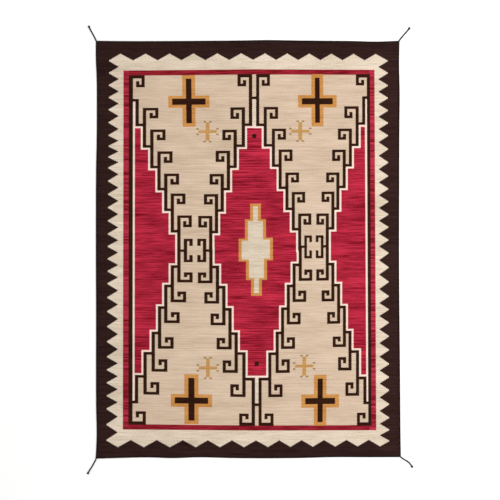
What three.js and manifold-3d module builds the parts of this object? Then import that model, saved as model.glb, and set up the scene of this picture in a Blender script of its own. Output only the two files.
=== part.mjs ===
// A flat tapestry-woven wool rug: one cloth, a cord bound along each of its four edges, a knot at
// each corner where the cords' ends are tied together, and a short twisted tie that leaves each
// corner and ends in a knot with frayed tails.
// Millimetres, +Z up. X runs across the rug along the weft, Y along the warp, and the rug lies
// flat with its underside at z = 0. The origin is below the middle of the rug, its ties left out.
import * as THREE from "three";
import { mergeVertices } from "three/addons/utils/BufferGeometryUtils.js";
import Module from "manifold-3d";

const wasm = await Module();
wasm.setup();

// Driving dimensions
const rugWidth = 1524; // between the outer sides of the edge cords, where the edges run true
const rugLength = 2095;
const clothThick = 4;
const rimRound = 1.2; // the soft turn of the cloth's rim
const cornerRound = 3;
const edgeCordThick = 5;
const cornerKnotAcross = 8.4;
const cornerKnotHigh = 6;
const tieThick = 5;
const tiePlies = 3;
const tieGroove = 0.2; // how far the tie's section is drawn in between plies, as a share
const tieTurn = 17; // length in which the plies go once round each other
const endKnotLong = 10.4;
const endKnotAcross = 9.6;
const endKnotHigh = 7.4;
const tailThick = 2;
const clearance = 0.3; // between pieces that lie against each other

// How finely round forms are cut into flats
const edgeSteps = { front: 32, right: 42, back: 32, left: 42 };
const cordSides = 8;
const tieSides = 9;
const tieStepsPerTurn = 8;
const knotSegments = { around: 14, along: 10 };
const tailSteps = 4;

const up = new THREE.Vector3(0, 0, 1);

// Where the four outer corners lie. Packing and the pull of the ties draw them out of square.
const corners = {
  front_left: { x: -763, y: -1052 },
  front_right: { x: 770, y: -1044 },
  back_right: { x: 763, y: 1048 },
  back_left: { x: -762, y: 1048 },
};

// The edges in order round the rug. A bow row says how far the edge stands out from true, at a
// distance along it from its middle that is counted in X or Y.
const edges = {
  front: {
    start: "front_left",
    end: "front_right",
    outward: { x: 0, y: -1 },
    bow: [
      { along: -690, out: 2.2 },
      { along: -500, out: -2 },
      { along: -377, out: 1.5 },
      { along: -240, out: -2.6 },
      { along: -76, out: 1.2 },
      { along: 105, out: 2.4 },
      { along: 286, out: 0.4 },
      { along: 420, out: -3.2 },
      { along: 620, out: -3.2 },
    ],
  },
  right: {
    start: "front_right",
    end: "back_right",
    outward: { x: 1, y: 0 },
    bow: [
      { along: -905, out: 5.8 },
      { along: -724, out: 4.6 },
      { along: -543, out: 3.1 },
      { along: -302, out: 0.7 },
      { along: -60, out: -0.7 },
      { along: 300, out: -0.1 },
      { along: 600, out: 0.6 },
      { along: 783, out: 2.1 },
      { along: 930, out: -0.6 },
    ],
  },
  back: {
    start: "back_right",
    end: "back_left",
    outward: { x: 0, y: 1 },
    bow: [
      { along: 650, out: -3.6 },
      { along: 527, out: -0.8 },
      { along: 346, out: 1 },
      { along: 226, out: 2.4 },
      { along: 105, out: 4.2 },
      { along: -16, out: 2.3 },
      { along: -136, out: 1.1 },
      { along: -377, out: -0.7 },
      { along: -619, out: -1.1 },
    ],
  },
  left: {
    start: "back_left",
    end: "front_left",
    outward: { x: -1, y: 0 },
    bow: [
      { along: 960, out: 0.2 },
      { along: 850, out: -4.1 },
      { along: 700, out: -4.8 },
      { along: 540, out: -3.8 },
      { along: 400, out: -1 },
      { along: 0, out: 0 },
      { along: -340, out: -1.1 },
      { along: -640, out: -0.6 },
      { along: -800, out: -1.5 },
      { along: -935, out: -3.9 },
    ],
  },
};

// The line of each tie, chosen by hand, as offsets from the middle of its corner knot: it leaves
// the knot, comes down to lie on the floor and rises a little into the knot at its free end.
const tieRoutes = {
  back_left: [
    [-2.1, 4.1, 3],
    [-4.2, 8.6, 2.8],
    [-6.3, 13, 2.6],
    [-8.5, 17.5, 2.6],
    [-10.8, 21.9, 2.6],
    [-13.1, 26.3, 2.6],
    [-15.4, 30.8, 2.6],
    [-17.8, 35.2, 2.6],
    [-20.3, 39.6, 2.6],
    [-22.8, 44, 2.6],
    [-25.4, 48.3, 2.6],
    [-27.8, 52.7, 2.6],
    [-30.1, 57.2, 2.8],
    [-32.3, 61.8, 3.2],
    [-34.4, 66.3, 3.6],
  ],
  front_left: [
    [-1.5, -4.3, 3],
    [-3.3, -9.1, 2.8],
    [-5.6, -13.8, 2.6],
    [-8.1, -18.3, 2.6],
    [-10.6, -22.9, 2.6],
    [-13.1, -27.5, 2.6],
    [-15.6, -32.1, 2.6],
    [-18.1, -36.7, 2.6],
    [-20.7, -41.2, 2.6],
    [-23.5, -45.7, 2.6],
    [-26.4, -50.2, 2.6],
    [-29.3, -54.6, 2.6],
    [-32.1, -59.1, 2.8],
    [-34.8, -63.6, 3.2],
    [-37.3, -68.1, 3.6],
  ],
  back_right: [
    [2.2, 3.9, 3],
    [5, 8.2, 2.8],
    [8.2, 12.3, 2.6],
    [11.4, 16.2, 2.6],
    [14.6, 20.1, 2.6],
    [17.8, 24.1, 2.6],
    [21, 28, 2.6],
    [24.3, 31.9, 2.6],
    [27.7, 35.7, 2.6],
    [31.2, 39.4, 2.6],
    [34.7, 43.1, 2.6],
    [38.2, 46.9, 2.6],
    [41.6, 50.8, 2.8],
    [44.8, 54.8, 3.2],
    [47.8, 58.8, 3.6],
  ],
  front_right: [
    [3.6, -2.9, 3],
    [7.2, -6.1, 2.8],
    [11.1, -9, 2.6],
    [15.1, -11.6, 2.6],
    [19.2, -14.1, 2.6],
    [23.3, -16.6, 2.6],
    [27.4, -19.1, 2.6],
    [31.6, -21.6, 2.6],
    [35.7, -24.1, 2.6],
    [39.6, -26.9, 2.6],
    [43.3, -29.9, 2.6],
    [46.8, -33.1, 2.6],
    [50, -36.5, 2.8],
    [52.8, -40.1, 3.2],
    [55.2, -43.9, 3.6],
  ],
};

// The frayed tails past each end knot: the way each one heads from the tie's own line, in
// degrees, and its length from the middle of the knot.
const tailSets = {
  back_left: [
    { heading: -24, length: 8 },
    { heading: -5, length: 9.5 },
    { heading: 15, length: 8.5 },
  ],
  front_left: [
    { heading: -46, length: 9.5 },
    { heading: -22, length: 8 },
    { heading: 8, length: 8 },
    { heading: 38, length: 10 },
  ],
  back_right: [
    { heading: -16, length: 8 },
    { heading: 4, length: 9.5 },
    { heading: 21, length: 8.5 },
  ],
  front_right: [
    { heading: -17, length: 8 },
    { heading: -4, length: 9.5 },
    { heading: 10, length: 9 },
    { heading: 22, length: 8 },
  ],
};

const wool = {
  cloth: new THREE.MeshStandardMaterial({ color: "#a92639", roughness: 0.95, metalness: 0 }),
  cord: new THREE.MeshStandardMaterial({ color: "#241917", roughness: 0.9, metalness: 0 }),
};

// A corner, moved into the rug from both of its edges.
function cornerPoint(name, inset, height) {
  const { x, y } = corners[name];
  return new THREE.Vector3(x - Math.sign(x) * inset, y - Math.sign(y) * inset, height);
}

// The points of an edge line that lies inset from the rug's outer edge, stopping short of both
// corners. Lines with different insets have their points abreast, so they stay parallel.
function edgePoints(name, { inset, height, short }) {
  const { start, end, outward, bow } = edges[name];
  const half = (outward.x ? rugWidth : rugLength) / 2;
  const rows = bow.map(({ along, out }) => {
    const reach = half + out - inset;
    return outward.x
      ? new THREE.Vector3(outward.x * reach, along, height)
      : new THREE.Vector3(along, outward.y * reach, height);
  });
  const line = new THREE.CatmullRomCurve3([
    cornerPoint(start, inset, height),
    ...rows,
    cornerPoint(end, inset, height),
  ]);
  const steps = edgeSteps[name];
  const trim = short / line.getLength();
  return Array.from({ length: steps + 1 }, (_, i) =>
    line.getPointAt(trim + (1 - 2 * trim) * (i / steps)),
  );
}

// A many-sided round whose flats lie thick apart, one of them at the bottom.
function roundSection(thick, sides) {
  const reach = thick / 2 / Math.cos(Math.PI / sides);
  return new THREE.Shape(
    Array.from({ length: sides }, (_, i) => {
      const angle = (2 * Math.PI * (i + 0.5)) / sides;
      return new THREE.Vector2(Math.cos(angle), Math.sin(angle)).multiplyScalar(reach);
    }),
  );
}

// Plies laid together: full thickness at each ply, and drawn in where two of them meet.
function pliedSection(thick, sides) {
  return new THREE.Shape(
    Array.from({ length: sides }, (_, i) => {
      const angle = (2 * Math.PI * i) / sides;
      const between = 0.5 - 0.5 * Math.cos(tiePlies * angle);
      const reach = (thick / 2) * (1 - tieGroove * between);
      return new THREE.Vector2(Math.cos(angle), Math.sin(angle)).multiplyScalar(reach);
    }),
  );
}

// A solid of one cross-section carried through a row of points, with a step at each. It turns
// evenly as it goes and narrows evenly to the tip's share of its first size.
function sweep(section, points, { turns = 0, tip = 1 } = {}) {
  const steps = points.length - 1;
  const line = new THREE.CatmullRomCurve3(points);
  const geometry = new THREE.ExtrudeGeometry(section, {
    depth: 1,
    steps,
    curveSegments: 1,
    bevelEnabled: false,
  });
  const position = geometry.getAttribute("position");
  const flat = new THREE.Vector3();
  for (let i = 0; i < position.count; i++) {
    flat.fromBufferAttribute(position, i);
    const share = Math.round(flat.z * steps) / steps;
    const ahead = line.getTangent(share);
    const side = new THREE.Vector3().crossVectors(up, ahead).normalize();
    const over = new THREE.Vector3().crossVectors(ahead, side);
    const offset = new THREE.Vector2(flat.x, flat.y)
      .rotateAround(new THREE.Vector2(), 2 * Math.PI * turns * share)
      .multiplyScalar(1 + (tip - 1) * share);
    const placed = line
      .getPoint(share)
      .addScaledVector(side, offset.x)
      .addScaledVector(over, offset.y);
    position.setXYZ(i, placed.x, placed.y, placed.z);
  }
  return geometry;
}

// A tied knot's outer form: a ball drawn in between three wraps that lean across it. It lies
// along X, is whole at both of its ends, and stands on z = 0.
function knotForm(long, across, high) {
  const wraps = 3;
  const lean = 1.1;
  const groove = 0.17;
  const geometry = new THREE.SphereGeometry(1, knotSegments.around, knotSegments.along);
  const position = geometry.getAttribute("position");
  const point = new THREE.Vector3();
  for (let i = 0; i < position.count; i++) {
    point.fromBufferAttribute(position, i);
    const tilt = Math.acos(THREE.MathUtils.clamp(point.y, -1, 1));
    const turn = Math.atan2(point.z, point.x);
    const between = 0.5 - 0.5 * Math.cos(wraps * (turn + lean * tilt));
    point.multiplyScalar(1 - groove * Math.sin(tilt) ** 2 * between);
    position.setXYZ(i, point.x, point.y, point.z);
  }
  return geometry
    .rotateZ(-Math.PI / 2)
    .scale(long / 2, across / 2, high / 2)
    .translate(0, 0, high / 2);
}

// One frayed tail, from inside the end knot out to where its tip lies on the floor.
function tailForm({ heading, length }) {
  const tip = 0.45;
  const angle = THREE.MathUtils.degToRad(heading);
  const root = { reach: endKnotLong * 0.2, height: endKnotHigh / 2 };
  const lying = (tailThick / 2) * tip;
  const points = Array.from({ length: tailSteps + 1 }, (_, i) => {
    const share = i / tailSteps;
    const reach = root.reach + (length - root.reach) * share;
    const height = lying + (root.height - lying) * (1 - share) ** 1.6;
    return new THREE.Vector3(
      reach * Math.cos(angle * share),
      reach * Math.sin(angle * share),
      Math.max(height, (tailThick / 2) * (1 + (tip - 1) * share)),
    );
  });
  return sweep(roundSection(tailThick, 4), points, { tip });
}

function toSolid(geometry) {
  const bare = new THREE.BufferGeometry();
  bare.setAttribute("position", geometry.getAttribute("position"));
  if (geometry.index) bare.setIndex(geometry.index);
  const merged = mergeVertices(bare, 1e-3);
  return new wasm.Manifold(
    new wasm.Mesh({
      numProp: 3,
      vertProperties: merged.getAttribute("position").array,
      triVerts: new Uint32Array(merged.index.array),
    }),
  );
}

function toGeometry(solid) {
  const { vertProperties, triVerts } = solid.getMesh();
  const geometry = new THREE.BufferGeometry();
  geometry.setAttribute("position", new THREE.BufferAttribute(vertProperties, 3));
  geometry.setIndex(new THREE.BufferAttribute(triVerts, 1));
  return geometry;
}

function piece(name, geometry, material) {
  const mesh = new THREE.Mesh(geometry, material);
  mesh.name = name;
  return mesh;
}

// The woven cloth, inside the edge cords, with rounded corners and a soft rim.
function makeCloth() {
  const inset = edgeCordThick + clearance;
  const sides = Object.entries(edges).map(([name, { end }]) => ({
    points: edgePoints(name, { inset, height: 0, short: cornerRound }),
    turn: cornerPoint(end, inset, 0),
  }));
  const outline = new THREE.Shape();
  outline.moveTo(sides[0].points[0].x, sides[0].points[0].y);
  sides.forEach(({ points, turn }, i) => {
    for (const point of points.slice(1)) outline.lineTo(point.x, point.y);
    const [next] = sides[(i + 1) % sides.length].points;
    outline.quadraticCurveTo(turn.x, turn.y, next.x, next.y);
  });
  const geometry = new THREE.ExtrudeGeometry(outline, {
    depth: clothThick - 2 * rimRound,
    steps: 1,
    curveSegments: 3,
    bevelSize: rimRound,
    bevelThickness: rimRound,
    bevelOffset: -rimRound,
    bevelSegments: 2,
  }).translate(0, 0, rimRound);
  return piece("cloth", geometry, wool.cloth);
}

// The cord along one edge, which stops against the knots at both of its corners.
function makeEdgeCord(name) {
  const points = edgePoints(name, {
    inset: edgeCordThick / 2,
    height: edgeCordThick / 2,
    short: cornerKnotAcross / 2 + clearance,
  });
  return piece(`${name}_edge_cord`, sweep(roundSection(edgeCordThick, cordSides), points), wool.cord);
}

// One corner: its knot, the tie that leaves it, and the end knot with its tails.
function makeCorner(name) {
  const place = cornerPoint(name, edgeCordThick / 2, 0);
  const route = tieRoutes[name].map((offset) => new THREE.Vector3(...offset));
  const line = new THREE.CatmullRomCurve3(route);
  const turns = line.getLength() / tieTurn;

  const cornerKnot = piece(
    `${name}_corner_knot`,
    knotForm(cornerKnotAcross, cornerKnotAcross, cornerKnotHigh),
    wool.cord,
  );
  cornerKnot.position.copy(place);
  cornerKnot.rotation.z = Math.atan2(route[0].y, route[0].x);

  const tie = piece(
    `${name}_tie`,
    sweep(
      pliedSection(tieThick, tieSides),
      line.getSpacedPoints(Math.round(turns * tieStepsPerTurn)),
      { turns },
    ),
    wool.cord,
  );
  tie.position.copy(place);

  const ahead = line.getTangent(1).setZ(0).normalize();
  const knot = toSolid(knotForm(endKnotLong, endKnotAcross, endKnotHigh));
  const tails = tailSets[name].map((row) => toSolid(tailForm(row)));
  const form = tails.reduce((whole, tail) => whole.add(tail), knot);
  const endKnot = piece(`${name}_end_knot`, toGeometry(form), wool.cord);
  endKnot.position
    .copy(place)
    .add(line.getPoint(1).setZ(0))
    .addScaledVector(ahead, endKnotLong / 2 + clearance);
  endKnot.rotation.z = Math.atan2(ahead.y, ahead.x);

  return { cornerKnot, tie, endKnot };
}

const bound = new THREE.Group();
bound.add(makeCloth(), ...Object.keys(edges).map(makeEdgeCord));
const loose = new THREE.Group();
for (const name of Object.keys(corners)) {
  const { cornerKnot, tie, endKnot } = makeCorner(name);
  bound.add(cornerKnot);
  loose.add(tie, endKnot);
}

const rug = new THREE.Group();
rug.add(bound, loose);
const middle = new THREE.Box3().setFromObject(bound, true).getCenter(new THREE.Vector3());
rug.position.set(-middle.x, -middle.y, 0);

export default rug;
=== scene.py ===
"""A flat tapestry-woven wool rug: the cloth with its design, a twisted cord along every edge, and at
each corner a knot and a short tie that ends in a knot with frayed tails.

Sizes are in mm and turned to metres where a mesh is made. +X is to the right, +Y to the back edge.
"""

import math
import random

import bpy
from mathutils import Matrix, Vector, geometry


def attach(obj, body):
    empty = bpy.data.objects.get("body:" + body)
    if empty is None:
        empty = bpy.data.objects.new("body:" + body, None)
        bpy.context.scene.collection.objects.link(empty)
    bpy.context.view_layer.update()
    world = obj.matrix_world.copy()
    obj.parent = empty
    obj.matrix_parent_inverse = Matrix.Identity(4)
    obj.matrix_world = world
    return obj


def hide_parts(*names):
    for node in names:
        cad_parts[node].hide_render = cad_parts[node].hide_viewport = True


MM = 0.001

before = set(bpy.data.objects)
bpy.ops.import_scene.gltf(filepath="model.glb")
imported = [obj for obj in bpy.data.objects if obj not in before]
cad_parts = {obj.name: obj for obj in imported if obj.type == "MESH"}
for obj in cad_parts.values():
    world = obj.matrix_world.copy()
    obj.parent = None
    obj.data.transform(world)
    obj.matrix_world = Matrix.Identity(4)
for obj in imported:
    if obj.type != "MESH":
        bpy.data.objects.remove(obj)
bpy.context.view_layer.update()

# The rug
CLOTH_THICK = 4.0
RIM_ROUND = 1.2
EDGE_CORD_THICK = 5.0
TIE_THICK = 5.0
WARP_SPACING = 3.2
PASS_HEIGHT = 1.4  # one pass of the weft, beaten down

# The camera looks straight down from where it takes in VIEW_WIDTH of floor
VIEW_WIDTH = 2513.0
VIEW_MIDDLE = (8.4, -2.3)
LENS = 85.0
SENSOR = 36.0


# Camera


def make_camera():
    data = bpy.data.cameras.new("camera")
    data.lens = LENS
    data.sensor_width = SENSOR
    camera = bpy.data.objects.new("camera", data)
    distance = VIEW_WIDTH * LENS / SENSOR
    camera.location = Vector((*VIEW_MIDDLE, CLOTH_THICK + distance)) * MM
    bpy.context.scene.collection.objects.link(camera)
    bpy.context.scene.camera = camera


# Materials


def linear(colour):
    """The linear colour, with alpha, of an sRGB hex value such as #a92639."""
    channels = [int(colour[i : i + 2], 16) / 255 for i in (1, 3, 5)]
    return [c / 12.92 if c <= 0.04045 else ((c + 0.055) / 1.055) ** 2.4 for c in channels] + [1.0]


def add(tree, kind, inputs=(), **settings):
    """Adds a node with its settings. Each input gets a value, or a link from another node's output."""
    node = tree.nodes.new(kind)
    for name, value in settings.items():
        setattr(node, name, value)
    for socket, value in dict(inputs).items():
        if isinstance(value, bpy.types.NodeSocket):
            tree.links.new(value, node.inputs[socket])
        else:
            node.inputs[socket].default_value = value
    return node


def per_metre(size):
    """How often a pattern of that size in mm, one for each axis, comes in a metre."""
    return [1 / (s * MM) for s in size]


def lumps(tree, place, size, detail=2.0):
    """A chance pattern from 0 to 1 at place, whose lumps measure size in mm along each axis."""
    scaled = add(
        tree, "ShaderNodeVectorMath", {0: place, 1: per_metre(size)}, operation="MULTIPLY"
    )
    noise = add(
        tree,
        "ShaderNodeTexNoise",
        {"Vector": scaled.outputs[0], "Scale": 1.0, "Detail": detail},
        noise_dimensions="3D",
    )
    spread = add(
        tree, "ShaderNodeMapRange", {"Value": noise.outputs[0], "From Min": 0.3, "From Max": 0.7}
    )
    return spread.outputs[0]


def mix_values(tree, rows, middle=0.5):
    """Outputs that lie round 0.5, added up by weight so that their sum lies round middle."""
    total = middle - sum(weight for _, weight in rows) / 2
    for value, weight in rows:
        total = add(
            tree, "ShaderNodeMath", {0: value, 1: weight, 2: total}, operation="MULTIPLY_ADD"
        ).outputs[0]
    return total


def start_material(name):
    """A new material, its node tree, and the output that says where on the rug a point lies."""
    material = bpy.data.materials.new(name)
    material.use_nodes = True
    tree = material.node_tree
    tree.nodes.clear()
    return material, tree, add(tree, "ShaderNodeTexCoord").outputs["Object"]


def wool_surface(tree, shade, dark, light, relief, surface):
    """What all wool has in common: its shade goes from dark to light, and its threads stand up."""
    colour = add(
        tree,
        "ShaderNodeMix",
        {"Factor": shade, "A": linear(dark), "B": linear(light)},
        data_type="RGBA",
    )
    bump = add(tree, "ShaderNodeBump", relief)
    inputs = {"Base Color": colour.outputs["Result"], "Normal": bump.outputs["Normal"], **surface}
    shader = add(tree, "ShaderNodeBsdfPrincipled", inputs)
    add(tree, "ShaderNodeOutputMaterial", {"Surface": shader.outputs[0]})


def woven_wool(name, dark, light, long=0.5, short=0.6, patches=0.35, fleck=0.3, pick=5.0):
    """Handspun wool in a tight weft-faced weave.

    Each hank took the dye a little differently, so the weft changes shade in long and short streaks
    that are one pick high, in patches where a hank ended, and the carded fibres show as fleck.
    """
    material, tree, place = start_material(name)
    shade = mix_values(
        tree,
        [
            (lumps(tree, place, (420, pick, 100)), long),
            (lumps(tree, place, (85, pick, 100)), short),
            (lumps(tree, place, (260, 62, 100)), patches),
            (lumps(tree, place, (8, 4, 100)), fleck),
        ],
    )
    # The warps stand up as ribs that run from back to front, and each pass of weft crosses them as
    # a ridge. Both are finer than the picture shows, so rows are also drawn six passes high.
    ribs = lumps(tree, place, (WARP_SPACING, 25, 100), detail=0.0)
    rows = lumps(tree, place, (60, PASS_HEIGHT * 6, 100), detail=1.0)
    passes = lumps(tree, place, (WARP_SPACING * 1.5, PASS_HEIGHT, 100), detail=0.0)
    relief = mix_values(tree, [(ribs, 0.35), (rows, 0.4), (passes, 0.25)])
    wool_surface(
        tree,
        shade,
        dark,
        light,
        {"Height": relief, "Strength": 0.6, "Distance": 0.8 * MM},
        {
            "Roughness": 0.95,
            "Specular IOR Level": 0.06,
            "Sheen Weight": 0.04,
            "Sheen Roughness": 0.6,
            "Sheen Tint": linear(light),
        },
    )
    return material


def plied_wool():
    """Dark brown wool spun hard and plied into cord: near black, with a dull glint of fibre."""
    material, tree, place = start_material("dark_plied_wool")
    fibres = lumps(tree, place, (1.1, 1.1, 0.8), detail=3.0)
    lengths = lumps(tree, place, (40, 40, 40))
    shade = mix_values(tree, [(fibres, 0.65), (lengths, 0.35)])
    wool_surface(
        tree,
        shade,
        "#0b0605",
        "#211613",
        {"Height": fibres, "Strength": 0.5, "Distance": 0.3 * MM},
        {
            "Roughness": 0.85,
            "Specular IOR Level": 0.1,
            "Sheen Weight": 0.04,
            "Sheen Roughness": 0.5,
        },
    )
    return material


def make_dyes():
    """The wools of the design, in the order of the mesh's material slots."""
    return {
        "brown": woven_wool("dark_brown_wool", "#1b0e0d", "#34201d", patches=0.2, fleck=0.5),
        # Along the right side the brown is a little lighter and warmer than elsewhere
        "side_brown": woven_wool("lighter_right_brown_wool", "#22130f", "#372220", patches=0.2, fleck=0.5),
        "black": woven_wool("brown_black_wool", "#1c0c05", "#361c10", patches=0.2, fleck=0.5),
        "cream": woven_wool("undyed_cream_wool", "#b8a890", "#e2d1bf", long=0.3, fleck=0.5),
        "dull_cream": woven_wool("smoky_cream_wool", "#b1a08a", "#d9cab5", long=0.3, fleck=0.5),
        "white": woven_wool("bleached_white_wool", "#d1b7a8", "#f2dbcd", long=0.2, fleck=0.5),
        "beige": woven_wool("carded_beige_wool", "#af9980", "#d7bfa9", long=0.4, short=0.4),
        "red": woven_wool("red_dyed_wool", "#690616", "#bd2c43", long=0.7, short=0.7, patches=0.6),
        "side_red": woven_wool("deep_red_wool", "#660811", "#b43246", long=1.2, short=0.3, pick=7.0),
        "end_red": woven_wool("dark_red_wool", "#620a12", "#9c2432", long=0.2, short=1.2),
        "gold": woven_wool("gold_dyed_wool", "#a16b2a", "#cf9356", long=0.4, short=0.3, fleck=0.6),
        "pale_gold": woven_wool("faded_gold_wool", "#a37640", "#c0955c", long=0.3, fleck=0.6),
        "tan": woven_wool("tan_wool", "#80673f", "#9c7d54", long=0.2, fleck=0.5),
    }


# The woven design. Heights are from the waist line, on which the left band is narrowest.

WAIST = -5.0
COMB = dict(pitch=9.4, depth=1.5)  # colours that meet along a warp take turns round it
STAIR = 4.3  # a slanting join climbs in steps of this height
JOIN_SPACING = 60  # between the points of a join along the weft
LIGHTER_BROWN_SIDE = (640, 748, -1010, 1000)  # where the brown is a little lighter and warmer, along the right side: left, right, front, back
FRAME = dict(
    outer_back=905, outer_front=899.5, inner_back=879, inner_front=873,
    left_back=-627.5, left_front=-631, right_back=634, right_front=643,
)
END_RED_FROM = dict(left=28, right=26)  # how far in from the frame's sides its ends are deeper red
LONG_BAR = dict(
    left_back=-590, left_front=-592.5, right_back=603, right_front=611, left_thick=21, right_thick=16,
)
STRIPE = 9.5  # width of the white stripe beside a long bar
LINE = dict(back=13.6, front=14.2)  # thickness of the dark lines that run across, in each half
FRAME_LINE = 17  # thickness of the ones that lie against the frame
HOOK_RISE = dict(back=0.53, front=0.47)  # share of its drop by which a hook's stub turns back
OUTLINE = dict(across=9.5, along=9.5)  # white edging outside a band's dark bars
TICK_HEIGHT = dict(back=762, front=765)

# For each step from the frame to the waist: where the hook at its bar's outer end turns, and where
# the bar is linked to the next step's.
STEP_HEIGHTS = (
    dict(hook_back=873, link_back=631, hook_front=866.5, link_front=631),
    dict(hook_back=710, link_back=523, hook_front=716, link_front=517),
    dict(hook_back=601, link_back=419, hook_front=601, link_front=415),
    dict(hook_back=491, link_back=309, hook_front=487, link_front=287),
    dict(hook_back=379, link_back=204, hook_front=357, link_front=178),
    dict(hook_back=279, link_back=97, hook_front=252, link_front=80),
    dict(hook_back=169, link_back=0, hook_front=153, link_front=0),
)

# The hooks in each quarter of the design: the reach and the stub's place of the one at the frame, and
# both from the next hook to the last. Then, for each hook, how far it drops, and how much further
# back than its step's height it came out on the loom, and the same for the links.
QUARTERS = {
    "left_band_left_back": dict(
        at_frame=(61, 34), reach=(62, 57), stub=(34, 29.5),
        drops=(46, 39.5, 41, 45, 42.5, 41, 46.5),
        hooks=(0, 0, 0, 0, 0, 0, 0), links=(0, 0, 0, -1, 0, -1, 0),
    ),
    "left_band_left_front": dict(
        at_frame=(69.5, 35), reach=(63.5, 61), stub=(35, 33.3),
        drops=(52, 49.5, 48.5, 44.5, 42, 40, 36.5),
        hooks=(0, 0, 0, 1, 0, 0, 0), links=(-1, 1, 1, 1, 0, -1, 0),
    ),
    "left_band_right_back": dict(
        at_frame=(57.5, 30), reach=(57, 54.7), stub=(29.5, 26.5),
        drops=(46, 45, 39.5, 43, 40.5, 39, 45.5),
        hooks=(0, -1, -4, 1, -3, -4, -3), links=(-3, 0, -1, -3, -5, -6, 0),
    ),
    "left_band_right_front": dict(
        at_frame=(63, 31.5), reach=(60.5, 57.5), stub=(33.5, 31.5),
        drops=(48, 47.5, 46.5, 44.5, 45.5, 43.5, 40),
        hooks=(0, -3, -2, -1, -10, -6, -4), links=(-8, 2, 0, -6, -5, -3, 0),
    ),
    "right_band_left_back": dict(
        at_frame=(54, 28), reach=(57, 51), stub=(30, 26.5),
        drops=(44.5, 47, 42.5, 45.5, 37.5, 41, 44),
        hooks=(0, 0, 0, 5, 1, 3, 4), links=(-4, 1, 3, 1, 0, 4, 0),
    ),
    "right_band_left_front": dict(
        at_frame=(60, 30), reach=(56.5, 53), stub=(29.5, 28),
        drops=(49, 47, 51.5, 45, 45, 42, 41.5),
        hooks=(0, -3, -3, 0, -7, 1, 5), links=(-8, 0, 2, -4, -1, 4, 0),
    ),
    "right_band_right_back": dict(
        at_frame=(55, 28.5), reach=(57, 47.5), stub=(31, 23.5),
        drops=(41.5, 47, 43, 44.5, 37, 39.5, 43.5),
        hooks=(0, 2, -2, 2, -1, 3, 3), links=(0, 0, 1, 2, -2, 6, 0),
    ),
    "right_band_right_front": dict(
        at_frame=(57.5, 29), reach=(53.5, 48), stub=(28, 24.5),
        drops=(50.5, 50.5, 50.5, 39.5, 46, 41, 41.5),
        hooks=(0, 0, 5, 6, -6, 2, 5), links=(-8, 5, 2, 1, 0, 5, 0),
    ),
}

# Where each step's two bars stand in each band, the last row being the brackets at the waist.
LEFT_STEPS = (
    dict(left_back=-559, right_back=11, left_front=-562, right_front=25),
    dict(left_back=-522, right_back=-25, left_front=-519, right_front=-22),
    dict(left_back=-485, right_back=-66, left_front=-478, right_front=-61),
    dict(left_back=-449, right_back=-100, left_front=-446, right_front=-92),
    dict(left_back=-415, right_back=-131, left_front=-415, right_front=-123),
    dict(left_back=-382, right_back=-160, left_front=-382, right_front=-155),
    dict(left_back=-349, right_back=-189, left_front=-349, right_front=-188),
    dict(left_back=-316, right_back=-220, left_front=-316, right_front=-220),
)
RIGHT_STEPS = (
    dict(left_back=47, right_back=580, left_front=59, right_front=586),
    dict(left_back=85, right_back=547, left_front=108, right_front=549),
    dict(left_back=126, right_back=513, left_front=145, right_front=511),
    dict(left_back=160, right_back=482, left_front=172, right_front=483),
    dict(left_back=194, right_back=450, left_front=201, right_front=454),
    dict(left_back=226, right_back=425, left_front=230, right_front=425),
    dict(left_back=258, right_back=397, left_front=261, right_front=397),
    dict(left_back=288, right_back=371, left_front=288, right_front=371),
)
BANDS = (
    dict(
        name="left_band", steps=LEFT_STEPS, bar=17.6, hook=16.8, outer="left",
        tie_back=755, tie_front=761,
    ),
    dict(
        name="right_band", steps=RIGHT_STEPS, bar=16.2, hook=15.6, outer="right",
        tie_back=763, tie_front=759,
    ),
)

# The bracket at each band's waist: how thick its upright lines and its arms are, the height of the
# tick on its back, the heights of its two arms, and how far it reaches
BRACKETS = {
    "left_band": dict(
        upright=17.6, arm=12.4, tick=-1.5,
        back=52, front=-53, reach=28, rise_back=30, rise_front=29.5,
    ),
    "right_band": dict(
        upright=13.8, arm=12.4, tick=12.5,
        back=62.7, front=-39.4, reach=25.3, rise_back=28, rise_front=33,
    ),
}

# The serrated outer edge of the cream border: how far its teeth and its notches reach at the first
# tooth and at the last, and the spacing of the teeth, which changes as the weaver went on.
TEETH = dict(
    back=dict(
        tip=(989, 989), notch=(955, 955), first=-643, spacing=((1, 127), (5, 120), (5, 111.2)),
    ),
    front=dict(
        tip=(-988, -988), notch=(-952, -952), first=-656,
        spacing=((3, 130.7), (3, 121), (5, 112.6)),
    ),
    left=dict(
        tip=(-703, -716), notch=(-650, -656), first=954,
        spacing=(
            (4, 61.5), (2, 64.5), (3, 54.3), (5, 66.6), (4, 62.3), (2, 70), (3, 76), (4, 65.3), (2, 79),
        ),
    ),
    right=dict(
        tip=(703, 711), notch=(652, 660), first=952,
        spacing=(
            (6, 63.7), (3, 68.2), (6, 64.8), (3, 70), (2, 66.2), (3, 69.1), (2, 61.5), (2, 69.5),
            (2, 61.5),
        ),
    ),
)

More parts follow.
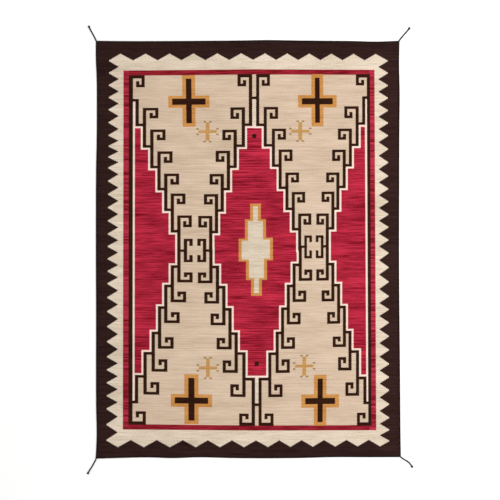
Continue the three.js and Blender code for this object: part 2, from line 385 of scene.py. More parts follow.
# The four large crosses: how far their arms reach, the upright's thickness, how much further right
# it stands at its front end than at its back, and the gold beside the upright and beside the arms.
CROSSES = (
    dict(
        x=-299, y=746, reach=84, back=115, front=108, upright=28, lean=3,
        beside_upright=18.5, beside_arm=15,
    ),
    dict(
        x=347, y=744.5, reach=77.5, back=119, front=108.5, upright=24, lean=2,
        beside_upright=18, beside_arm=16,
    ),
    dict(
        x=-286, y=-749, reach=84, back=112, front=102, upright=31, lean=1,
        beside_upright=20, beside_arm=17,
    ),
    dict(
        x=361, y=-748, reach=75, back=108, front=109, upright=26, lean=-1,
        beside_upright=18.5, beside_arm=18,
    ),
)
CROSS = dict(arm=31, gold_end_across=19.5, gold_end_along=18)
SMALL_CROSSES = (
    dict(x=-205, y=595),
    dict(x=261, y=594),
    dict(x=-203, y=-587),
    dict(x=281, y=-579),
)
SMALL_CROSS = dict(reach=46, across=19, along=14, dot_out=50, dot_beside=14)
DOT = dict(across=12, along=8)
SQUARES = (dict(x=30, y=571), dict(x=42, y=-566))
SQUARE_SIZE = 21

# The stepped lozenge in the middle, from its widest step to its narrowest. Tilt is how much further
# back its right end lies than its left.
LOZENGE = (
    dict(half_width=86, back=59, front=54, middle_back=37.5, middle_front=37.5, edge=9, tilt=4),
    dict(half_width=52.5, back=154, front=148, middle_back=36, middle_front=41, edge=9, tilt=0),
    dict(half_width=27, back=232, front=225, middle_back=36, middle_front=41, edge=13, tilt=0),
)
LOZENGE_SIDE = 15

# Rows of weft don't lie quite level. This is how far they are pushed towards the back, in the
# middle and at the right, compared with the left, for rows at some heights.
ROW_PULL = (
    dict(height=985, middle=2, right=-1),
    dict(height=900, middle=6, right=4),
    dict(height=600, middle=4.5, right=8),
    dict(height=300, middle=3.5, right=10),
    dict(height=0, middle=2.5, right=12),
    dict(height=-250, middle=-3, right=3),
    dict(height=-550, middle=-3, right=5),
    dict(height=-720, middle=-12, right=-7),
    dict(height=-900, middle=-5.5, right=-4),
    dict(height=-985, middle=0, right=4),
)
PULL_SPAN = dict(left=-560, middle=33, right=580)
ENDS = (("back", 1), ("front", -1))
SIDES = (("left", 1), ("right", -1))


def box(left, right, front, back):
    return [(left, front), (right, front), (right, back), (left, back)]


def slanted_box(sizes, front, back):
    """A box whose sides stand where sizes says at its front and at its back."""
    return [
        (sizes["left_front"], front),
        (sizes["right_front"], front),
        (sizes["right_back"], back),
        (sizes["left_back"], back),
    ]


def between(a, b, half):
    """The box round a straight line from a to b, across or along the rug. Half is how far it
    reaches past the line, across and along."""
    (x0, y0), (x1, y1) = a, b
    half_x, half_y = half
    return box(min(x0, x1) - half_x, max(x0, x1) + half_x, min(y0, y1) - half_y, max(y0, y1) + half_y)


def change(pair, share):
    """The value that lies share of the way from the first of a pair to the second."""
    return pair[0] + (pair[1] - pair[0]) * share


def teeth_line(name):
    """Tips and notches along one edge of the border, in order from its first tooth."""
    row = TEETH[name]
    across = name in ("back", "front")
    way = 1 if across else -1
    tips = [row["first"]]
    for count, spacing in row["spacing"]:
        tips += [tips[-1] + way * spacing * (i + 1) for i in range(count)]
    line = []
    for i, tip in enumerate(tips):
        share = i / (len(tips) - 1)
        line.append((tip, change(row["tip"], share)))
        if i < len(tips) - 1:
            line.append(((tip + tips[i + 1]) / 2, change(row["notch"], share)))
    return [(along, out) if across else (out, along) for along, out in line]


def border_outline():
    """The cream border's outer edge, counterclockwise."""
    return (
        teeth_line("front")
        + teeth_line("right")[::-1]
        + teeth_line("back")[::-1]
        + teeth_line("left")
    )


def step_lines(band, side, end, outward):
    """The heights of each step's hook and link, in one quarter of the design."""
    quarter = QUARTERS[f"{band['name']}_{side}_{end}"]
    return [
        (outward * row[f"hook_{end}"] + hook, outward * row[f"link_{end}"] + link)
        for row, hook, link in zip(STEP_HEIGHTS, quarter["hooks"], quarter["links"])
    ]


def hook(quarter, step, corner, end, side, half, top_line):
    """The dark lines of a hook that turns inward from its bar's end and back on itself. Half is half
    the lines' thickness, across and along, and top_line the whole thickness of the first."""
    inward, outward = dict(SIDES)[side], dict(ENDS)[end]
    x, height = corner
    if step:
        share = (step - 1) / (len(STEP_HEIGHTS) - 2)
        reach, stub_place = (change(quarter[size], share) for size in ("reach", "stub"))
    else:
        reach, stub_place = quarter["at_frame"]
    far = x + inward * reach
    stub = x + inward * stub_place
    drop = quarter["drops"][step]
    low = height - outward * drop
    tip = low + outward * drop * HOOK_RISE[end]
    yield between((x, height), (far, height), (half[0], top_line / 2))
    yield between((far, height), (far, low), half)
    yield between((far, low), (stub, low), half)
    yield between((stub, low), (stub, tip), (half[0], 0))


def bracket(row, x, inward, beside):
    """The dark bracket at a band's waist, with the tick that ties it to the bar beside it."""
    far = x + inward * row["reach"]
    half = (row["upright"] / 2, row["arm"] / 2)
    yield between((x, row["back"]), (x, row["front"]), half)
    for height, rise in ((row["back"], -row["rise_back"]), (row["front"], row["rise_front"])):
        yield between((x, height), (far, height), half)
        yield between((far, height), (far, height + rise), (half[0], 0))
    yield between((x, row["tick"]), (beside, row["tick"]), half)


def band_ground(band, spare):
    """The boxes that a band is made of from the frame to its waist, grown by spare at its sides and
    at each step."""
    for end, outward in ENDS:
        for side, inward in SIDES:
            start = outward * FRAME[f"inner_{end}"]
            for row, (_, link) in zip(band["steps"], step_lines(band, side, end, outward)):
                x = row[f"{side}_{end}"] - inward * spare[0]
                middle = (row[f"left_{end}"] + row[f"right_{end}"]) / 2
                stop = link - outward * spare[1]
                yield box(*sorted((x, middle)), *sorted((start, stop)))
                start = link


def band_lines(band):
    """A band's dark bars, hooks and links, from its second step to its waist."""
    for end, outward in ENDS:
        bar_half = (band["bar"] / 2, LINE[end] / 2)
        hook_half = (band["hook"] / 2, LINE[end] / 2)
        for side, _ in SIDES:
            quarter = QUARTERS[f"{band['name']}_{side}_{end}"]
            places = [row[f"{side}_{end}"] for row in band["steps"]]
            for i, (turn, link) in enumerate(step_lines(band, side, end, outward)):
                if i:
                    corner = (places[i], turn)
                    yield from hook(quarter, i, corner, end, side, hook_half, LINE[end])
                    yield between(corner, (places[i], link), bar_half)
                if link:
                    yield between((places[i], link), (places[i + 1], link), bar_half)


def first_step_lines(band):
    """The dark lines of a band's first step: hooks against the frame, the bars and the tie."""
    for end, outward in ENDS:
        bar_half = (band["bar"] / 2, LINE[end] / 2)
        hook_half = (band["hook"] / 2, LINE[end] / 2)
        tie = outward * band[f"tie_{end}"]
        for side, _ in SIDES:
            quarter = QUARTERS[f"{band['name']}_{side}_{end}"]
            turn, link = step_lines(band, side, end, outward)[0]
            bar = band["steps"][0][f"{side}_{end}"]
            if side == band["outer"]:
                long_bar = LONG_BAR[f"{side}_{end}"]
                yield from hook(quarter, 0, (long_bar, turn), end, side, hook_half, FRAME_LINE)
                yield between((long_bar, tie), (bar, tie), bar_half)
                yield between((bar, tie), (bar, link), bar_half)
            else:
                yield from hook(quarter, 0, (bar, turn), end, side, hook_half, FRAME_LINE)
                yield between((bar, turn), (bar, link), bar_half)


def slanted_long_bar(side, near, far):
    """A strip beside a long bar's middle line, from near to far mm on its inner side."""
    inward = 1 if side == "left" else -1
    sizes = {}
    for end, _ in ENDS:
        x = LONG_BAR[f"{side}_{end}"]
        sizes[f"left_{end}"], sizes[f"right_{end}"] = sorted((x + inward * near, x + inward * far))
    return sizes


def large_cross(row):
    """The gold outline and dark middle of a cross."""
    place = (row["x"], row["y"])
    for wool, gold in (("gold", 1), ("black", 0)):
        half = row["upright"] / 2 + gold * row["beside_upright"]
        upright = {}
        for end, way in (("back", -1), ("front", 1)):
            middle = row["x"] + way * row["lean"] / 2
            upright[f"left_{end}"] = middle - half
            upright[f"right_{end}"] = middle + half
        spare = gold * CROSS["gold_end_along"]
        yield wool, slanted_box(
            upright, row["y"] - row["front"] - spare, row["y"] + row["back"] + spare
        )
        arms = (
            row["reach"] + gold * CROSS["gold_end_across"],
            CROSS["arm"] / 2 + gold * row["beside_arm"],
        )
        yield wool, between(place, place, arms)


def small_cross(row):
    """A gold cross with eight tan dots beside its arms' ends."""
    middle = (row["x"], row["y"])
    for half in (
        (SMALL_CROSS["across"] / 2, SMALL_CROSS["reach"]),
        (SMALL_CROSS["reach"], SMALL_CROSS["along"] / 2),
    ):
        yield "pale_gold", between(middle, middle, half)
    for right in (-1, 1):
        for back in (-1, 1):
            for out, beside in (("dot_beside", "dot_out"), ("dot_out", "dot_beside")):
                spot = (
                    row["x"] + right * SMALL_CROSS[out],
                    row["y"] + back * SMALL_CROSS[beside],
                )
                yield "tan", between(spot, spot, (DOT["across"] / 2, DOT["along"] / 2))


def lozenge():
    """The gold outline and cream middle of the stepped lozenge."""
    for wool, side, edged in (("gold", 0, 0), ("dull_cream", LOZENGE_SIDE, 1)):
        for row in LOZENGE:
            half = row["half_width"] - side
            rise = row["tilt"] / 2
            for end, outward in ENDS:
                x = row[f"middle_{end}"]
                far = outward * (row[end] - row["edge"] * edged)
                corners = [(x - half, 0), (x + half, 0), (x + half, far + rise), (x - half, far - rise)]
                yield wool, corners if outward > 0 else corners[::-1]


def woven_design():
    """Yields (wool, outline), the ground first and what lies in it after it."""
    # The brown is a little lighter along the right side
    yield "side_brown", box(*LIGHTER_BROWN_SIDE)
    yield "cream", border_outline()
    yield "side_red", slanted_box(FRAME, -FRAME["outer_front"], FRAME["outer_back"])
    red_ends = (
        FRAME["left_back"] + END_RED_FROM["left"],
        FRAME["right_back"] - END_RED_FROM["right"],
    )
    for end, outward in ENDS:
        heights = sorted((outward * FRAME[f"outer_{end}"], outward * FRAME[f"inner_{end}"]))
        yield "end_red", box(*red_ends, *heights)
    yield "red", slanted_box(LONG_BAR, -FRAME["inner_front"], FRAME["inner_back"])

    for side, _ in SIDES:
        half = LONG_BAR[f"{side}_thick"] / 2
        stripe = slanted_long_bar(side, 0, half + STRIPE)
        band = next(row for row in BANDS if row["outer"] == side)
        yield "white", slanted_box(stripe, -band["tie_front"], band["tie_back"])
    for band in BANDS:
        spare = band["bar"] / 2 + OUTLINE["across"], LINE["back"] / 2 + OUTLINE["along"]
        for ground in band_ground(band, spare):
            yield "white", ground
    # The column between the bands is beige as far as the tick and cream beyond it
    for end, outward in ENDS:
        sides = LEFT_STEPS[0][f"right_{end}"], RIGHT_STEPS[0][f"left_{end}"]
        link = step_lines(BANDS[0], "right", end, outward)[0][1]
        tick = outward * TICK_HEIGHT[end]
        yield "cream", box(*sides, *sorted((link, tick)))
        yield "beige", box(*sides, *sorted((tick, outward * FRAME[f"inner_{end}"])))
    for band in BANDS:
        for ground in band_ground(band, (0, 0)):
            yield "beige", ground
        for end, outward in ENDS:
            side = band["outer"]
            sides = sorted((band["steps"][0][f"{side}_{end}"], LONG_BAR[f"{side}_{end}"]))
            heights = sorted((outward * band[f"tie_{end}"], outward * FRAME[f"inner_{end}"]))
            yield "beige", box(*sides, *heights)

    for side, _ in SIDES:
        half = LONG_BAR[f"{side}_thick"] / 2
        bar = slanted_long_bar(side, -half, half)
        yield "black", slanted_box(bar, -FRAME["inner_front"], FRAME["inner_back"])
    for band in BANDS:
        for line in first_step_lines(band):
            yield "black", line
        for line in band_lines(band):
            yield "black", line
        for side, inward in SIDES:
            x, beside = (band["steps"][i][f"{side}_back"] for i in (-1, -2))
            for line in bracket(BRACKETS[band["name"]], x, inward, beside):
                yield "black", line
    for end, outward in ENDS:
        height = outward * TICK_HEIGHT[end]
        sides = LEFT_STEPS[0][f"right_{end}"], RIGHT_STEPS[0][f"left_{end}"]
        yield "black", between((sides[0], height), (sides[1], height), (0, LINE[end] / 2))

    for row in CROSSES:
        yield from large_cross(row)
    for row in SMALL_CROSSES:
        yield from small_cross(row)
    for square in SQUARES:
        middle = (square["x"], square["y"])
        yield "black", between(middle, middle, (SQUARE_SIZE / 2, SQUARE_SIZE / 2))
    yield from lozenge()


def combed(outline):
    """The outline as it is woven: upright joins are toothed, slanting ones climb in small steps,
    and ones along the weft have points enough to follow it."""
    half_pitch = COMB["pitch"] / 2
    woven = []
    for (x0, y0), (x1, y1) in zip(outline, outline[1:] + outline[:1]):
        woven.append((x0, y0))
        run, climb = x1 - x0, y1 - y0
        if abs(climb) < 1e-6:
            pieces = max(1, round(abs(run) / JOIN_SPACING))
            woven += [(x0 + run * i / pieces, y0) for i in range(1, pieces)]
        elif abs(run) < 0.1 * abs(climb):
            low, high = sorted((y0, y1))
            first = math.floor(low / half_pitch) + 1
            last = math.ceil(high / half_pitch) - 1
            rows = range(first, last + 1)
            for k in rows if climb > 0 else reversed(rows):
                y = k * half_pitch
                x = x0 + run * (y - y0) / climb
                woven.append((x + COMB["depth"] * (1 if k % 2 else -1), y))
        else:
            steps = max(1, round(abs(climb) / STAIR))
            for i in range(steps):
                x = x0 + run * (i + 0.5) / steps
                woven.append((x, y0 + climb * i / steps))
                woven.append((x, y0 + climb * (i + 1) / steps))
    return [p for p, q in zip(woven, woven[1:] + woven[:1]) if math.dist(p, q) > 1e-4]


def pulled(point):
    """Where a point of the design lies in the finished rug, the rows of weft being a little uneven."""
    x, y = point
    rows = ROW_PULL
    y_in = min(max(y, rows[-1]["height"]), rows[0]["height"])
    for upper, lower in zip(rows, rows[1:]):
        if y_in >= lower["height"]:
            break
    share = (upper["height"] - y_in) / (upper["height"] - lower["height"])
    middle, right = (change((upper[side], lower[side]), share) for side in ("middle", "right"))
    if x < PULL_SPAN["middle"]:
        reach = (x - PULL_SPAN["left"]) / (PULL_SPAN["middle"] - PULL_SPAN["left"])
        push = middle * min(max(reach, 0), 1)
    else:
        reach = (x - PULL_SPAN["middle"]) / (PULL_SPAN["right"] - PULL_SPAN["middle"])
        push = middle + (right - middle) * min(reach, 1)
    return (x, y + push + WAIST)


# The cloth

GROUND_GRID = 24.0  # points over the plain parts, close enough for the cloth's soft unevenness
GROUND_SHIFT = (0.37, 0.41)  # keeps those points off the corners of the design
GROUND_MARGIN = 15  # and clear of the rim
UNEVEN = 0.3  # how much thicker or thinner the cloth is than its mean

# The rim's profile from the upper face round to the lower one
RIM_PROFILE = (
    dict(depth=0.3, height=CLOTH_THICK - 0.35),
    dict(depth=-0.4, height=CLOTH_THICK - RIM_ROUND),
    dict(depth=-0.4, height=RIM_ROUND),
    dict(depth=0.3, height=0.35),
)

# Where the map that textures are baked through holds each face, as shares of its width
UPPER_MAP = dict(start=0.004, width=0.732)
LOWER_MAP = dict(start=0.76, width=0.236)
RIM_MAP = 0.748
MAP_MARGIN = 0.004


def cloth_outline():
    """The outer line of the cloth's CAD solid, in mm, counterclockwise."""
    ring = set()
    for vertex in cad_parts["cloth"].data.vertices:
        x, y, z = vertex.co / MM
        if abs(z - RIM_ROUND) < 0.01:
            ring.add((round(x, 3), round(y, 3)))
    return sorted(ring, key=lambda p: math.atan2(p[1], p[0]))


def inset(ring, depth):
    """The ring's points, each moved depth mm into the cloth."""
    moved = []
    for before, point, after in zip([ring[-1]] + ring, ring, ring[1:] + ring[:1]):
        along = (Vector(after) - Vector(before)).normalized()
        moved.append((point[0] - along.y * depth, point[1] + along.x * depth))
    return moved


def surface_height(x, y):
    """The height of the cloth's upper face, uneven as handspun wool is: in rows of weft some
    centimetres wide and in broad cockles. Places are divided by lengths in mm."""
    rows = math.sin(x / 47 + 2.1 * math.sin(y / 160)) * math.sin(y / 21 + 1.3 * math.sin(x / 210))
    cockle = math.sin(x / 98 + 0.7) * math.sin(y / 120 + 1.9 * math.sin(x / 260))
    return CLOTH_THICK + UNEVEN * (0.5 * rows + 0.5 * cockle - 0.4)


def make_cloth(dyes):
    """The cloth as one closed mesh. The design goes right through, so both faces show it."""
    ring = cloth_outline()
    edge = inset(ring, RIM_ROUND)
    points = list(edge)
    outlines = [list(range(len(edge)))]
    wools = ["brown"]
    for wool, outline in woven_design():
        woven = [pulled(p) for p in combed(outline)]
        outlines.append(list(range(len(points), len(points) + len(woven))))
        points += woven
        wools.append(wool)
    half_x = max(x for x, _ in edge)
    half_y = max(y for _, y in edge)
    for i in range(-int(half_x // GROUND_GRID), int(half_x // GROUND_GRID) + 1):
        for j in range(-int(half_y // GROUND_GRID), int(half_y // GROUND_GRID) + 1):
            x, y = i * GROUND_GRID, j * GROUND_GRID
            if half_x - abs(x) > GROUND_MARGIN and half_y - abs(y) > GROUND_MARGIN:
                points.append((x + GROUND_SHIFT[0], y + GROUND_SHIFT[1]))

    flat, _, triangles, sources, _, owners = geometry.delaunay_2d_cdt(
        [Vector(p) for p in points], [], outlines, 0, 1e-3
    )
    names = list(dyes)
    shown = [(t, names.index(wools[max(o)])) for t, o in zip(triangles, owners) if o]
    made_from = {source: i for i, s in enumerate(sources) for source in s}
    top_ring = [made_from[i] for i in range(len(edge))]

    verts = [(p.x, p.y, surface_height(p.x, p.y)) for p in flat]
    verts += [(p.x, p.y, 0.0) for p in flat]
    faces = [tuple(t) for t, _ in shown]
    faces += [tuple(i + len(flat) for i in reversed(t)) for t, _ in shown]
    slots = [slot for _, slot in shown] * 2

    rows = [top_ring]
    for row in RIM_PROFILE:
        rows.append(list(range(len(verts), len(verts) + len(ring))))
        verts += [(x, y, row["height"]) for x, y in inset(ring, row["depth"])]
    rows.append([i + len(flat) for i in top_ring])
    for upper, lower in zip(rows, rows[1:]):
        for i in range(len(ring)):
            j = (i + 1) % len(ring)
            faces.append((upper[i], lower[i], lower[j], upper[j]))
            slots.append(0)

    mesh = bpy.data.meshes.new("woven_cloth")
    mesh.from_pydata([Vector(v) * MM for v in verts], [], faces)
    for dye in dyes.values():
        mesh.materials.append(dye)
    mesh.polygons.foreach_set("material_index", slots)
    mesh.polygons.foreach_set("use_smooth", [True] * len(faces))
    lay_out(mesh, len(shown), half_x, half_y)
    mesh.update()
    cloth = bpy.data.objects.new("woven_cloth", mesh)
    bpy.context.scene.collection.objects.link(cloth)
    return cloth


def lay_out(mesh, face_count, half_x, half_y):
    """The map that textures are baked through: the upper face large, the lower one beside it."""
    uv = mesh.uv_layers.new(name="OFBake")
    for polygon in mesh.polygons:
        for corner in polygon.loop_indices:
            x, y, _ = mesh.vertices[mesh.loops[corner].vertex_index].co / MM
            across = (x / half_x + 1) / 2
            along = MAP_MARGIN + (1 - 2 * MAP_MARGIN) * (y / half_y + 1) / 2
            if polygon.index < face_count:
                u = UPPER_MAP["start"] + UPPER_MAP["width"] * across
            elif polygon.index < 2 * face_count:
                u = LOWER_MAP["start"] + LOWER_MAP["width"] * across
            else:
                u = RIM_MAP
            uv.data[corner].uv = (u, along)


# Cords, knots and ties

EDGES = ("front", "right", "back", "left")
PLY_TURN = dict(edge=14.0, tie=17.0, knot=7.0)  # length in which plies go once round each other
CORNER_KNOT = dict(long=9.2, across=9.2, high=6.4, thick=3.5)
END_KNOT = dict(long=13.4, across=12.4, high=8.0, thick=5.2)
LEAD_THICK = 3.6  # of a cord where it goes into a knot
KNOT_POINTS = 84
TIE_POINT_SPACING = 0.8
PLY_SWELL = 1.42  # how much wider soft plies lie than the cord measures when it is pulled tight
LAID_FLAT = 0.69  # a cord's height against its width, as it lies on the floor

# The middle of each corner knot
CORNERS = {
    "front_left": (-764.2, -1048.5),
    "front_right": (763.8, -1040.5),
    "back_right": (756.8, 1046.5),
    "back_left": (-763.2, 1046.5),
}

# The line of each tie, as offsets from the middle of its corner knot
TIE_ROUTES = {
    "back_left": (
        (-2.1, 4.1, 3), (-4.2, 8.6, 2.8), (-6.3, 13, 2.6), (-8.5, 17.5, 2.6),
        (-10.8, 21.9, 2.6), (-13.1, 26.3, 2.6), (-15.4, 30.8, 2.6), (-17.8, 35.2, 2.6),
        (-20.3, 39.6, 2.6), (-22.8, 44, 2.6), (-25.4, 48.3, 2.6), (-27.8, 52.7, 2.6),
        (-30.1, 57.2, 2.8), (-32.3, 61.8, 3.2), (-34.4, 66.3, 3.6),
    ),
    "front_left": (
        (-1.5, -4.3, 3), (-3.3, -9.1, 2.8), (-5.6, -13.8, 2.6), (-8.1, -18.3, 2.6),
        (-10.6, -22.9, 2.6), (-13.1, -27.5, 2.6), (-15.6, -32.1, 2.6), (-18.1, -36.7, 2.6),
        (-20.7, -41.2, 2.6), (-23.5, -45.7, 2.6), (-26.4, -50.2, 2.6), (-29.3, -54.6, 2.6),
        (-32.1, -59.1, 2.8), (-34.8, -63.6, 3.2), (-37.3, -68.1, 3.6),
    ),
    "back_right": (
        (2.2, 3.9, 3), (5, 8.2, 2.8), (8.2, 12.3, 2.6), (11.4, 16.2, 2.6),
        (14.6, 20.1, 2.6), (17.8, 24.1, 2.6), (21, 28, 2.6), (24.3, 31.9, 2.6),
        (27.7, 35.7, 2.6), (31.2, 39.4, 2.6), (34.7, 43.1, 2.6), (38.2, 46.9, 2.6),
        (41.6, 50.8, 2.8), (44.8, 54.8, 3.2), (47.8, 58.8, 3.6),
    ),
    "front_right": (
        (3.6, -2.9, 3), (7.2, -6.1, 2.8), (11.1, -9, 2.6), (15.1, -11.6, 2.6),
        (19.2, -14.1, 2.6), (23.3, -16.6, 2.6), (27.4, -19.1, 2.6), (31.6, -21.6, 2.6),
        (35.7, -24.1, 2.6), (39.6, -26.9, 2.6), (43.3, -29.9, 2.6), (46.8, -33.1, 2.6),
        (50, -36.5, 2.8), (52.8, -40.1, 3.2), (55.2, -43.9, 3.6),
    ),
}

# The frayed tails past each end knot: the way each heads from the tie's own line, in degrees, and
# its length from the middle of the knot
TAILS = {
    "back_left": (
        dict(heading=-24, length=8),
        dict(heading=-5, length=9.5),
        dict(heading=15, length=8.5),
    ),
    "front_left": (
        dict(heading=-46, length=9.5),
        dict(heading=-22, length=8),
        dict(heading=8, length=8),
        dict(heading=38, length=10),
    ),
    "back_right": (
        dict(heading=-16, length=8),
        dict(heading=4, length=9.5),
        dict(heading=21, length=8.5),
    ),
    "front_right": (
        dict(heading=-17, length=8),
        dict(heading=-4, length=9.5),
        dict(heading=10, length=9),
        dict(heading=22, length=8),
    ),
}
TAIL_FIBRES = 7
TAIL_FIBRE = dict(thick=0.85, tip=0.4, spread=0.9, bend=0.25, points=9, sides=5)
KNOT_CLEAR = 0.3  # between a tie's end and the loops of its end knot


def line_length(points):
    return sum((b - a).length for a, b in zip(points, points[1:]))


def smooth_line(points, spacing):
    """Points at even spacing along a smooth curve through the given ones."""
    dense = []
    padded = [points[0] * 2 - points[1], *points, points[-1] * 2 - points[-2]]
    for p0, p1, p2, p3 in zip(padded, padded[1:], padded[2:], padded[3:]):
        for k in range(8):
            t = k / 8
            bend = (3 * p1 - p0 - 3 * p2 + p3) * t + (2 * p0 - 5 * p1 + 4 * p2 - p3)
            dense.append(p1 + (p2 - p0 + bend * t) * t / 2)
    dense.append(points[-1])
    count = max(2, round(line_length(dense) / spacing))
    step = line_length(dense) / count
    even = [dense[0]]
    passed = 0.0
    for a, b in zip(dense, dense[1:]):
        stretch = (b - a).length
        while len(even) < count and passed + stretch >= step * len(even):
            even.append(a.lerp(b, (step * len(even) - passed) / stretch))
        passed += stretch
    return even + [dense[-1]]


def bearings(line, closed=False):
    """The ways ahead, to the side and over a line, at each of its points."""
    ways = []
    for i, point in enumerate(line):
        before = line[i - 1] if i or closed else point
        after = line[(i + 1) % len(line)] if i < len(line) - 1 or closed else point
        ahead = (after - before).normalized()
        side = Vector((0, 0, 1)).cross(ahead).normalized()
        ways.append((ahead, side, ahead.cross(side)))
    return ways


def round_strand(line, radii, sides, closed=False, flat=1.0):
    """The points and faces of a strand along a line, with half its width for each point. Flat is its
    height against its width."""
    verts = []
    for point, radius, (_, side, over) in zip(line, radii, bearings(line, closed)):
        for k in range(sides):
            turn = 2 * math.pi * k / sides
            verts.append(point + (side * math.cos(turn) + over * math.sin(turn) * flat) * radius)
    faces = []
    for i in range(len(line) if closed else len(line) - 1):
        here = i * sides
        there = (i + 1) % len(line) * sides
        for k in range(sides):
            after = (k + 1) % sides
            faces.append((here + k, here + after, there + after, there + k))
    if not closed:
        faces.append(tuple(reversed(range(sides))))
        faces.append(tuple(len(verts) - sides + k for k in range(sides)))
    return verts, faces


def plied_cord(line, thick, count, turn, sides=8, closed=False):
    """A cord of twisted plies along a line, as one (points, faces) for each ply. Thick may be a
    number for each point. A closed one is pulled tight, so that it neither swells nor lies flat."""
    swell, flat = (1, 1) if closed else (PLY_SWELL, LAID_FLAT)
    thicks = thick if isinstance(thick, list) else [thick] * len(line)
    ply_share = 1 / (1 + 1 / math.sin(math.pi / count))  # a ply's radius against the cord's
    whole = line_length(line + line[:1] if closed else line)
    turn_fitted = whole / max(1, round(whole / turn)) if closed else turn
    strands = []
    for k in range(count):
        reach = 0.0
        ply = []
        for i, (_, side, over) in enumerate(bearings(line, closed)):
            reach += (line[i] - line[i - 1]).length if i else 0
            angle = 2 * math.pi * (reach / turn_fitted + k / count)
            out = thicks[i] / 2 * (1 - ply_share) * swell
            ply.append(line[i] + (side * math.cos(angle) + over * math.sin(angle) * flat) * out)
        radii = [t / 2 * ply_share * swell for t in thicks]
        strands.append(round_strand(ply, radii, sides, closed, flat))
    return strands


def wool_piece(name, strands, material):
    """One piece made of strands."""
    verts, faces = [], []
    for strand_verts, strand_faces in strands:
        faces += [tuple(i + len(verts) for i in face) for face in strand_faces]
        verts += strand_verts
    mesh = bpy.data.meshes.new(name)
    mesh.from_pydata([v * MM for v in verts], [], faces)
    mesh.materials.append(material)
    mesh.polygons.foreach_set("use_smooth", [True] * len(faces))
    mesh.update()
    piece = bpy.data.objects.new(name, mesh)
    bpy.context.scene.collection.objects.link(piece)
    return piece


def fit(piece, node):
    """The piece stands for a CAD node and lies with the rug."""
    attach(piece, "root")
    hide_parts(node)


def edge_line(name):
    """The middle line of an edge cord, through the rings of its CAD tube."""
    axis = 0 if name in ("front", "back") else 1
    corners = {tuple(v.co / MM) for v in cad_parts[f"{name}_edge_cord"].data.vertices}
    rings = []  # they stand much more than 10 mm apart
    for corner in sorted(corners, key=lambda c: c[axis]):
        if not rings or corner[axis] - rings[-1][-1][axis] > 10:
            rings.append([])
        rings[-1].append(corner)
    line = []
    for ring in rings:
        low, high = ([pick(c[k] for c in ring) for k in range(3)] for pick in (min, max))
        line.append((Vector(low) + Vector(high)) / 2)
    return line


def make_edge_cord(name, material):
    """Three plies twisted hard, running on into the knots at both corners."""
    line = edge_line(name)
    corners = [Vector((*place, EDGE_CORD_THICK / 2)) for place in CORNERS.values()]
    ends = [min(corners, key=lambda c: (c - end).length) for end in (line[0], line[-1])]
    line = [ends[0], *smooth_line(line, PLY_TURN["edge"] / 8), ends[1]]
    thicks = []
    for point in line:
        inside = min((point - end).length for end in ends) / (CORNER_KNOT["long"] / 2)
        thicks.append(LEAD_THICK + (EDGE_CORD_THICK - LEAD_THICK) * min(inside, 1))
    cord = wool_piece(
        f"{name}_edge_twist", plied_cord(line, thicks, 3, PLY_TURN["edge"]), material
    )
    fit(cord, f"{name}_edge_cord")
    return cord


def tight_knot(size):
    """The middle line of a cord in a simple knot, pulled tight, that stands on the floor."""
    half = [(size[side] - size["thick"]) / 2 for side in ("long", "across", "high")]
    line = []
    for i in range(KNOT_POINTS):
        t = 2 * math.pi * i / KNOT_POINTS
        x = (math.sin(t) + 2 * math.sin(2 * t)) / 3
        y = (math.cos(t) - 2 * math.cos(2 * t)) / 3
        line.append(Vector((x * half[0], y * half[1], size["high"] / 2 - math.sin(3 * t) * half[2])))
    return line


def placed(line, place, heading):
    turned = Matrix.Rotation(heading, 3, "Z")
    return [place + turned @ point for point in line]


def make_knot(name, node, size, place, heading, leads, extras, material):
    """A knot of plied cord, with a lead to each cord that goes into it."""
    line = placed(tight_knot(size), place, heading)
    strands = plied_cord(line, size["thick"], 2, PLY_TURN["knot"], sides=10, closed=True)
    for end in leads:
        middle = place + Vector((0, 0, size["high"] / 2))
        lead = smooth_line([middle, end], 1.0)
        grow = (TIE_THICK - LEAD_THICK) / (len(lead) - 1)
        thicks = [LEAD_THICK + grow * i for i in range(len(lead))]
        strands += plied_cord(lead, thicks, 3, PLY_TURN["tie"], sides=12)
    knot = wool_piece(name, strands + extras, material)
    fit(knot, node)
    return knot


def frayed_tail(row, place, heading, chance):
    """The fibres of one untwisted ply, which part on the way to the floor."""
    start = END_KNOT["long"] * 0.2
    angle = math.radians(row["heading"])
    strands = []
    for _ in range(TAIL_FIBRES):
        side = chance.uniform(-1, 1)
        lift = chance.uniform(0, 1)
        bend = chance.uniform(-TAIL_FIBRE["bend"], TAIL_FIBRE["bend"])
        reach_end = row["length"] * chance.uniform(0.8, 1.0)
        line, radii = [], []
        for i in range(TAIL_FIBRE["points"]):
            share = i / (TAIL_FIBRE["points"] - 1)
            reach = start + (reach_end - start) * share
            turn = angle * share + bend * share**2
            thick = change((TAIL_FIBRE["thick"], TAIL_FIBRE["tip"]), share)
            apart = side * TAIL_FIBRE["spread"] * (0.6 + 0.5 * share)
            height = thick / 2 + (END_KNOT["high"] / 2 + lift - thick / 2) * (1 - share) ** 1.6
            line.append(
                Vector(
                    (
                        reach * math.cos(turn) - apart * math.sin(turn),
                        reach * math.sin(turn) + apart * math.cos(turn),
                        height + lift * 0.9 * share,
                    )
                )
            )
            radii.append(thick / 2)
        strands.append(round_strand(placed(line, place, heading), radii, TAIL_FIBRE["sides"]))
    return strands


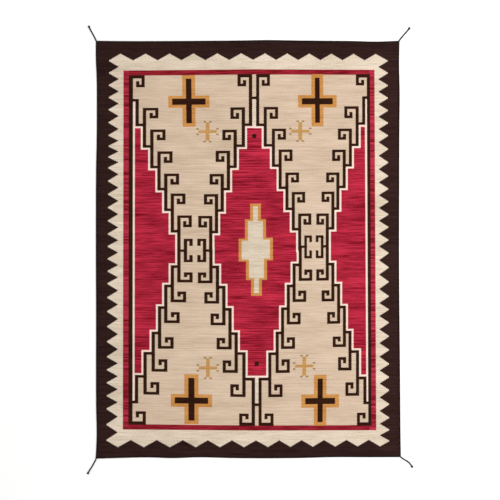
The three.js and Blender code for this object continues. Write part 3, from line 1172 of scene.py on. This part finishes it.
def make_corner(name, material):
    """One corner's knot, and its tie with the knot and frayed tails at the tie's end."""
    place = Vector((*CORNERS[name], 0))
    route = [place + Vector(offset) for offset in TIE_ROUTES[name]]
    start = route[0] - place
    knot = make_knot(
        f"{name}_corner_knot_tied",
        f"{name}_corner_knot",
        CORNER_KNOT,
        place,
        math.atan2(start.y, start.x) + math.pi / 2,
        [route[0]],
        [],
        material,
    )
    tie = wool_piece(
        f"{name}_tie_twisted",
        plied_cord(
            smooth_line(route, TIE_POINT_SPACING), TIE_THICK, 3, PLY_TURN["tie"], sides=12
        ),
        material,
    )
    fit(tie, f"{name}_tie")

    ahead = route[-1] - route[-2]
    heading = math.atan2(ahead.y, ahead.x)
    reach = END_KNOT["long"] / 2 + KNOT_CLEAR
    end_place = Vector((route[-1].x, route[-1].y, 0))
    end_place += Vector((math.cos(heading), math.sin(heading), 0)) * reach
    chance = random.Random(len(name))
    tails = []
    for row in TAILS[name]:
        tails += frayed_tail(row, end_place, heading, chance)
    end_knot = make_knot(
        f"{name}_end_knot_tied",
        f"{name}_end_knot",
        END_KNOT,
        end_place,
        heading - math.pi / 2,
        [route[-1]],
        tails,
        material,
    )
    line_length(route) * MM
    return knot


# Floor and light


def make_floor():
    """A pale matt floor, which isn't part of the rug."""
    material = bpy.data.materials.new("white_floor")
    material.use_nodes = True
    shader = material.node_tree.nodes["Principled BSDF"]
    shader.inputs["Base Color"].default_value = linear("#fcfcfb")
    shader.inputs["Roughness"].default_value = 0.9
    shader.inputs["Specular IOR Level"].default_value = 0.1
    mesh = bpy.data.meshes.new("floor")
    half = 8.0  # metres
    mesh.from_pydata([(x, y, 0) for x, y in box(-half, half, -half, half)], [], [(0, 1, 2, 3)])
    mesh.materials.append(material)
    floor = bpy.data.objects.new("floor", mesh)
    floor.location.z = -0.2 * MM  # clear of the cloth's underside
    bpy.context.scene.collection.objects.link(floor)


def make_lights():
    """Soft light from all round, and a large lamp, so that it is a little stronger from the right.
    The lamp's size and place are in metres."""
    scene = bpy.context.scene
    scene.view_settings.view_transform = "Standard"
    world = bpy.data.worlds.new("studio")
    scene.world = world
    world.use_nodes = True
    background = world.node_tree.nodes["Background"]
    background.inputs["Color"].default_value = (1, 1, 1, 1)
    background.inputs["Strength"].default_value = 0.78
    lamp = bpy.data.lights.new("softbox", "AREA")
    lamp.shape = "DISK"
    lamp.size = 2.5
    lamp.energy = 105
    light = bpy.data.objects.new("softbox", lamp)
    light.location = (2.4, 0.3, 3.4)
    light.rotation_euler = (-light.location).to_track_quat("-Z", "Y").to_euler()
    scene.collection.objects.link(light)


make_camera()
make_floor()
make_lights()

cord_wool = plied_wool()
bound = [make_edge_cord(name, cord_wool) for name in EDGES]
bound += [make_corner(name, cord_wool) for name in CORNERS]

cloth = make_cloth(make_dyes())
fit(cloth, "cloth")
